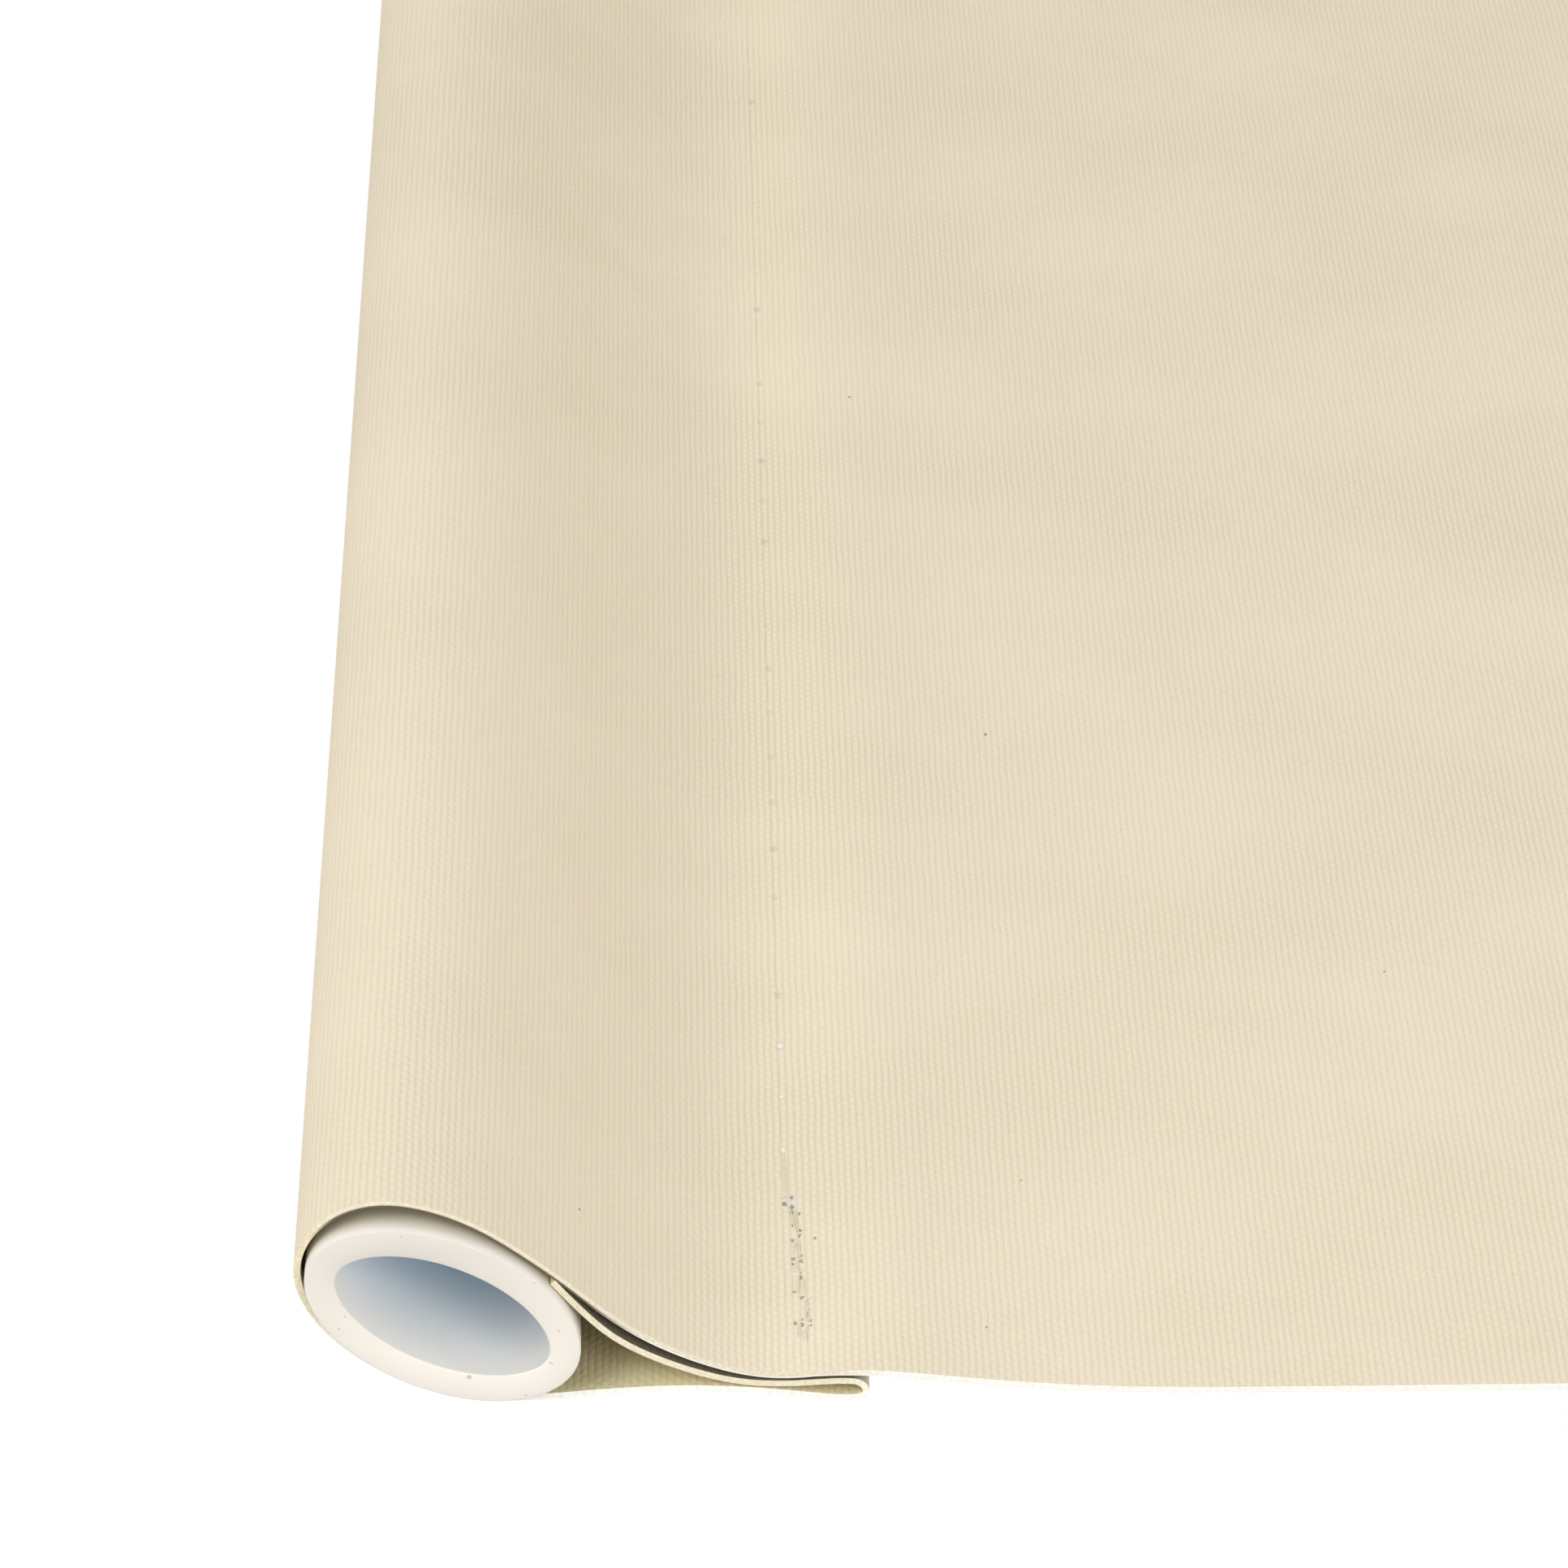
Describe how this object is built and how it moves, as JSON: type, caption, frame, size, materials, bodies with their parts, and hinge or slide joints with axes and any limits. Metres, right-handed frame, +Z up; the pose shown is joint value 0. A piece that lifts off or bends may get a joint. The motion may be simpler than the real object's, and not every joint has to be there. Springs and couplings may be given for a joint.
{
  "type": "blackout roller blind",
  "caption": "Spring roller blind: coated cloth on a tube with pawl-and-ratchet end and sprung idle pin, wall brackets, and an oval tube in its sewn hem pocket.",
  "frame": {"origin": "middle of the four wall screw holes, on the wall", "axes": "+Z up, X along the width with the sprung idle pin at +X, -Y towards the room and +Y into the wall"},
  "size_m": [0.673, 0.0467, 0.9415],
  "materials": {
    "cloth": "coated plain weave, matt",
    "hem_plastic": "extruded, satin",
    "tape": "adhesive film",
    "aluminium": "mill finish",
    "grey_plastic": "moulded",
    "zinc_steel": "zinc plated",
    "spring_steel": "drawn wire",
    "white_paint": "powder coat"
  },
  "bodies": {
    "brackets": {"spring_end_bracket": "white_paint", "pin_end_bracket": "white_paint", "tang_shaft": "zinc_steel", "ratchet_wheel": "zinc_steel", "spring_hub": "grey_plastic", "spring_rod": "zinc_steel", "rod_clip": "spring_steel", "torsion_spring": "spring_steel", "cloth_panel": "cloth"},
    "roller": {"roller_tube": "aluminium", "cloth_roll": "cloth", "fixing_tape": "tape", "spring_end_cap": "grey_plastic", "pawl_rivets": "zinc_steel", "spring_anchor_plug": "grey_plastic", "idle_end_cap": "grey_plastic", "spring_seat": "grey_plastic", "pin_spring": "spring_steel"},
    "upper_pawl": {"upper_pawl": "zinc_steel"},
    "lower_pawl": {"lower_pawl": "zinc_steel"},
    "idle_pin": {"idle_pin": "zinc_steel"},
    "hem": {"hem_tube": "hem_plastic", "hem_pocket": "cloth"}
  },
  "joints": [
    {"name": "hem_lift", "type": "slide", "parent": "brackets", "child": "hem", "axis": [0, 0, 1], "range_m": [0, 0.83554], "deforming": ["cloth_panel"]},
    {"name": "roller_spin", "type": "hinge", "parent": "brackets", "child": "roller", "pos_m": [0, -0.03, 0], "axis": [1, 0, 0], "range_deg": [0, 2880.01], "deforming": ["torsion_spring"]},
    {"name": "upper_pawl_swing", "type": "hinge", "parent": "roller", "child": "upper_pawl", "pos_m": [-0.3088, -0.01919, 0.00393], "axis": [1, 0, 0], "range_deg": [0, 20]},
    {"name": "lower_pawl_swing", "type": "hinge", "parent": "roller", "child": "lower_pawl", "pos_m": [-0.3088, -0.04081, -0.00393], "axis": [1, 0, 0], "range_deg": [0, 20]},
    {"name": "idle_pin_press", "type": "slide", "parent": "roller", "child": "idle_pin", "axis": [1, 0, 0], "range_m": [-0.0075, 0], "stiffness_N_per_m": 800, "springref_m": 0.006, "deforming": ["pin_spring"]}
  ],
  "couplings": [
    {"joint": "roller_spin", "follows": "hem_lift", "rad_per_m": 60.159}
  ]
}
